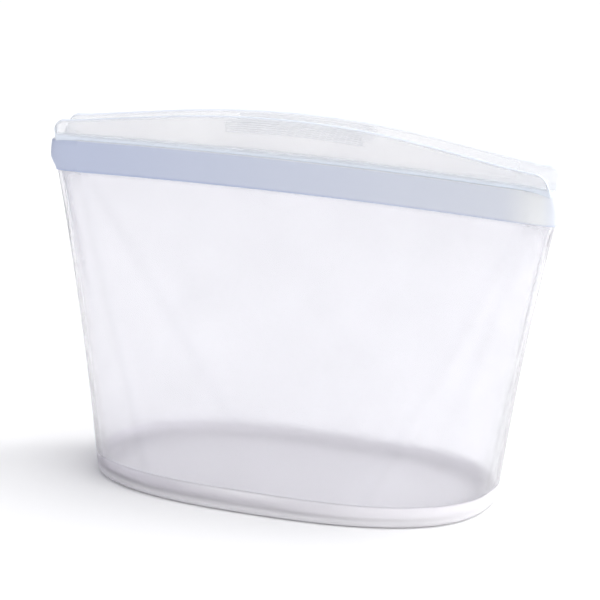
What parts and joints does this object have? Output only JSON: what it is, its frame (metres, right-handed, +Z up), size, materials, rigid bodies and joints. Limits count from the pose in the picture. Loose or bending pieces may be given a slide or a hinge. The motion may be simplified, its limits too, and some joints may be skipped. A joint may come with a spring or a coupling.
{
  "type": "silicone storage bag",
  "caption": "Stand-up silicone food bag with an oval bowl base, folded side gussets and a pinch-lock mouth between two arched lips with ribbed pull tabs.",
  "frame": {"origin": "middle of the underside of the base, on the surface the bag stands on", "axes": "+X along the closed mouth, towards the bag's right end seen from the front; +Y from the front wall to the back wall; +Z up"},
  "size_m": [0.215, 0.0924, 0.148],
  "materials": {
    "clear_silicone": "milky translucent satin",
    "base_silicone": "milky translucent satin, a little denser",
    "seal_silicone": "thick translucent silicone, cool blue-grey",
    "tab_silicone": "milky translucent satin with fine grip ribs"
  },
  "bodies": {
    "root": {"base_pan": "base_silicone", "left_gusset": "clear_silicone", "right_gusset": "clear_silicone", "left_side_seal": "seal_silicone", "right_side_seal": "seal_silicone"},
    "front_mouth": {"front_wall": "clear_silicone", "front_closure_strip": "seal_silicone", "front_lip_left": "clear_silicone", "front_lip_right": "clear_silicone"},
    "front_tab": {"front_pull_tab": "tab_silicone"},
    "back_mouth": {"back_wall": "clear_silicone", "back_closure_strip": "seal_silicone", "back_lip_left": "clear_silicone", "back_lip_right": "clear_silicone"},
    "back_tab": {"back_pull_tab": "tab_silicone"}
  },
  "joints": [
    {"name": "front_open", "type": "hinge", "parent": "root", "child": "front_mouth", "pos_m": [0, -0.04392, 0.0083], "axis": [1, 0, 0], "range_deg": [0, 16]},
    {"name": "back_open", "type": "hinge", "parent": "root", "child": "back_mouth", "pos_m": [0, 0.04392, 0.0083], "axis": [-1, 0, 0], "range_deg": [0, 16]},
    {"name": "front_tab_fold", "type": "hinge", "parent": "front_mouth", "child": "front_tab", "pos_m": [0, -0.0038, 0.1318], "axis": [1, 0, 0], "range_deg": [0, 45], "stiffness_Nm_per_rad": 0.01},
    {"name": "back_tab_fold", "type": "hinge", "parent": "back_mouth", "child": "back_tab", "pos_m": [0, 0.0038, 0.1318], "axis": [-1, 0, 0], "range_deg": [0, 45], "stiffness_Nm_per_rad": 0.01}
  ]
}
